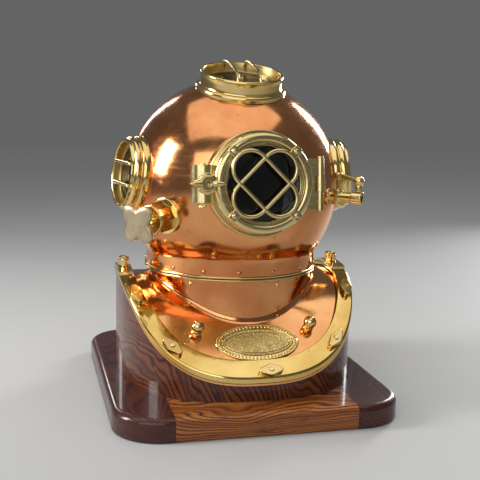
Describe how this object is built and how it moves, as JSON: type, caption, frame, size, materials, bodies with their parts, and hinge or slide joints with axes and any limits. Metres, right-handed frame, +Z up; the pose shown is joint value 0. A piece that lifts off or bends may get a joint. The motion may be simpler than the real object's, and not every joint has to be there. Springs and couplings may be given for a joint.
{
  "type": "diving helmet",
  "caption": "Copper and brass diving helmet with hinged front port, guarded side and top ports, valves and a bolted breastplate, on a polished wooden stand.",
  "frame": {"origin": "under the middle of the base board, on its underside", "axes": "+Z up, the helmet's front port looks towards -Y, +X is the right-hand side as seen from the front"},
  "size_m": [0.39, 0.436, 0.4765],
  "materials": {
    "rosewood_light": "polished lacquer over wide brown and black grain",
    "rosewood_dark": "polished lacquer over dark reddish grain",
    "copper": null,
    "brass": "polished lacquered brass",
    "satin_brass": "pale satin cast brass",
    "glass": "clear plate glass",
    "packing": "dark waxed leather"
  },
  "bodies": {
    "stand": {"board_left_plank": "rosewood_dark", "board_centre_plank": "rosewood_light", "board_right_plank": "rosewood_dark", "plinth_front": "rosewood_light", "plinth_rear": "rosewood_light", "plinth_left_cheek": "rosewood_dark", "plinth_right_cheek": "rosewood_dark"},
    "corselet": {"breastplate": "copper", "rim_packing": "packing", "brail_front": "brass", "brail_rear": "brass", "shoulder_plates": "brass", "brail_studs": "brass", "brail_nuts": "brass", "shoulder_nuts": "brass", "nameplate": "brass", "nameplate_pins": "brass", "ball_studs": "brass", "collar_tube": "copper", "collar_foot_rivets": "brass", "collar_screws": "brass", "collar_ring": "brass", "neck_gasket": "packing"},
    "bonnet": {"bonnet_ring": "brass", "bonnet_shell": "copper", "neck_rivets": "copper", "front_seat": "brass", "door_gasket": "packing", "hinge_pin": "brass", "latch_pin": "brass", "left_port_seat": "brass", "left_port_glass": "glass", "left_port_retainer": "brass", "left_port_guard": "brass", "right_port_seat": "brass", "right_port_glass": "glass", "right_port_retainer": "brass", "right_port_guard": "brass", "top_port_seat": "brass", "top_port_glass": "glass", "top_port_retainer": "brass", "top_port_guard": "brass", "exhaust_body": "brass", "exhaust_gland": "brass", "spit_cock_body": "brass", "air_inlet_elbow": "brass", "telephone_elbow": "brass"},
    "door": {"front_door": "brass", "front_glass": "glass", "front_retainer": "brass", "front_guard": "brass", "guard_screws": "brass"},
    "swing_bolt": {"swing_bolt": "brass"},
    "wing_nut": {"wing_nut": "brass"},
    "exhaust_stem": {"exhaust_stem": "brass"},
    "exhaust_wheel": {"exhaust_wheel": "satin_brass"},
    "spit_lever": {"spit_cock_plug": "brass", "spit_cock_lever": "brass"}
  },
  "joints": [
    {"name": "helmet_lift", "type": "slide", "parent": "stand", "child": "corselet", "axis": [0, 0, 1], "range_m": [0, 0.13]},
    {"name": "bonnet_turn", "type": "hinge", "parent": "corselet", "child": "bonnet", "pos_m": [0, 0.016, 0.18], "axis": [0, 0, 1], "range_deg": [0, 45]},
    {"name": "door_hinge", "type": "hinge", "parent": "bonnet", "child": "door", "pos_m": [0.0795, -0.1481, 0.31605], "axis": [0, 0.1045, 0.9945], "range_deg": [0, 110]},
    {"name": "swing_bolt_pivot", "type": "hinge", "parent": "bonnet", "child": "swing_bolt", "pos_m": [-0.076, -0.13914, 0.31511], "axis": [0, -0.1045, -0.9945], "range_deg": [0, 100]},
    {"name": "wing_nut_turn", "type": "hinge", "parent": "swing_bolt", "child": "wing_nut", "pos_m": [-0.076, -0.15705, 0.31699], "axis": [0, -0.9945, 0.1045], "continuous": true},
    {"name": "exhaust_stem_travel", "type": "slide", "parent": "bonnet", "child": "exhaust_stem", "axis": [-0.7512, -0.653, -0.0958], "range_m": [0, 0.004]},
    {"name": "exhaust_wheel_turn", "type": "hinge", "parent": "exhaust_stem", "child": "exhaust_wheel", "pos_m": [-0.14451, -0.10962, 0.26297], "axis": [-0.7512, -0.653, -0.0958], "range_deg": [0, 720]},
    {"name": "spit_lever_turn", "type": "hinge", "parent": "bonnet", "child": "spit_lever", "pos_m": [0.1236, -0.09926, 0.2928], "axis": [0, 0, -1], "range_deg": [0, 90]}
  ],
  "couplings": [
    {"joint": "exhaust_stem_travel", "follows": "exhaust_wheel_turn", "m_per_rad": 0.00031831}
  ]
}
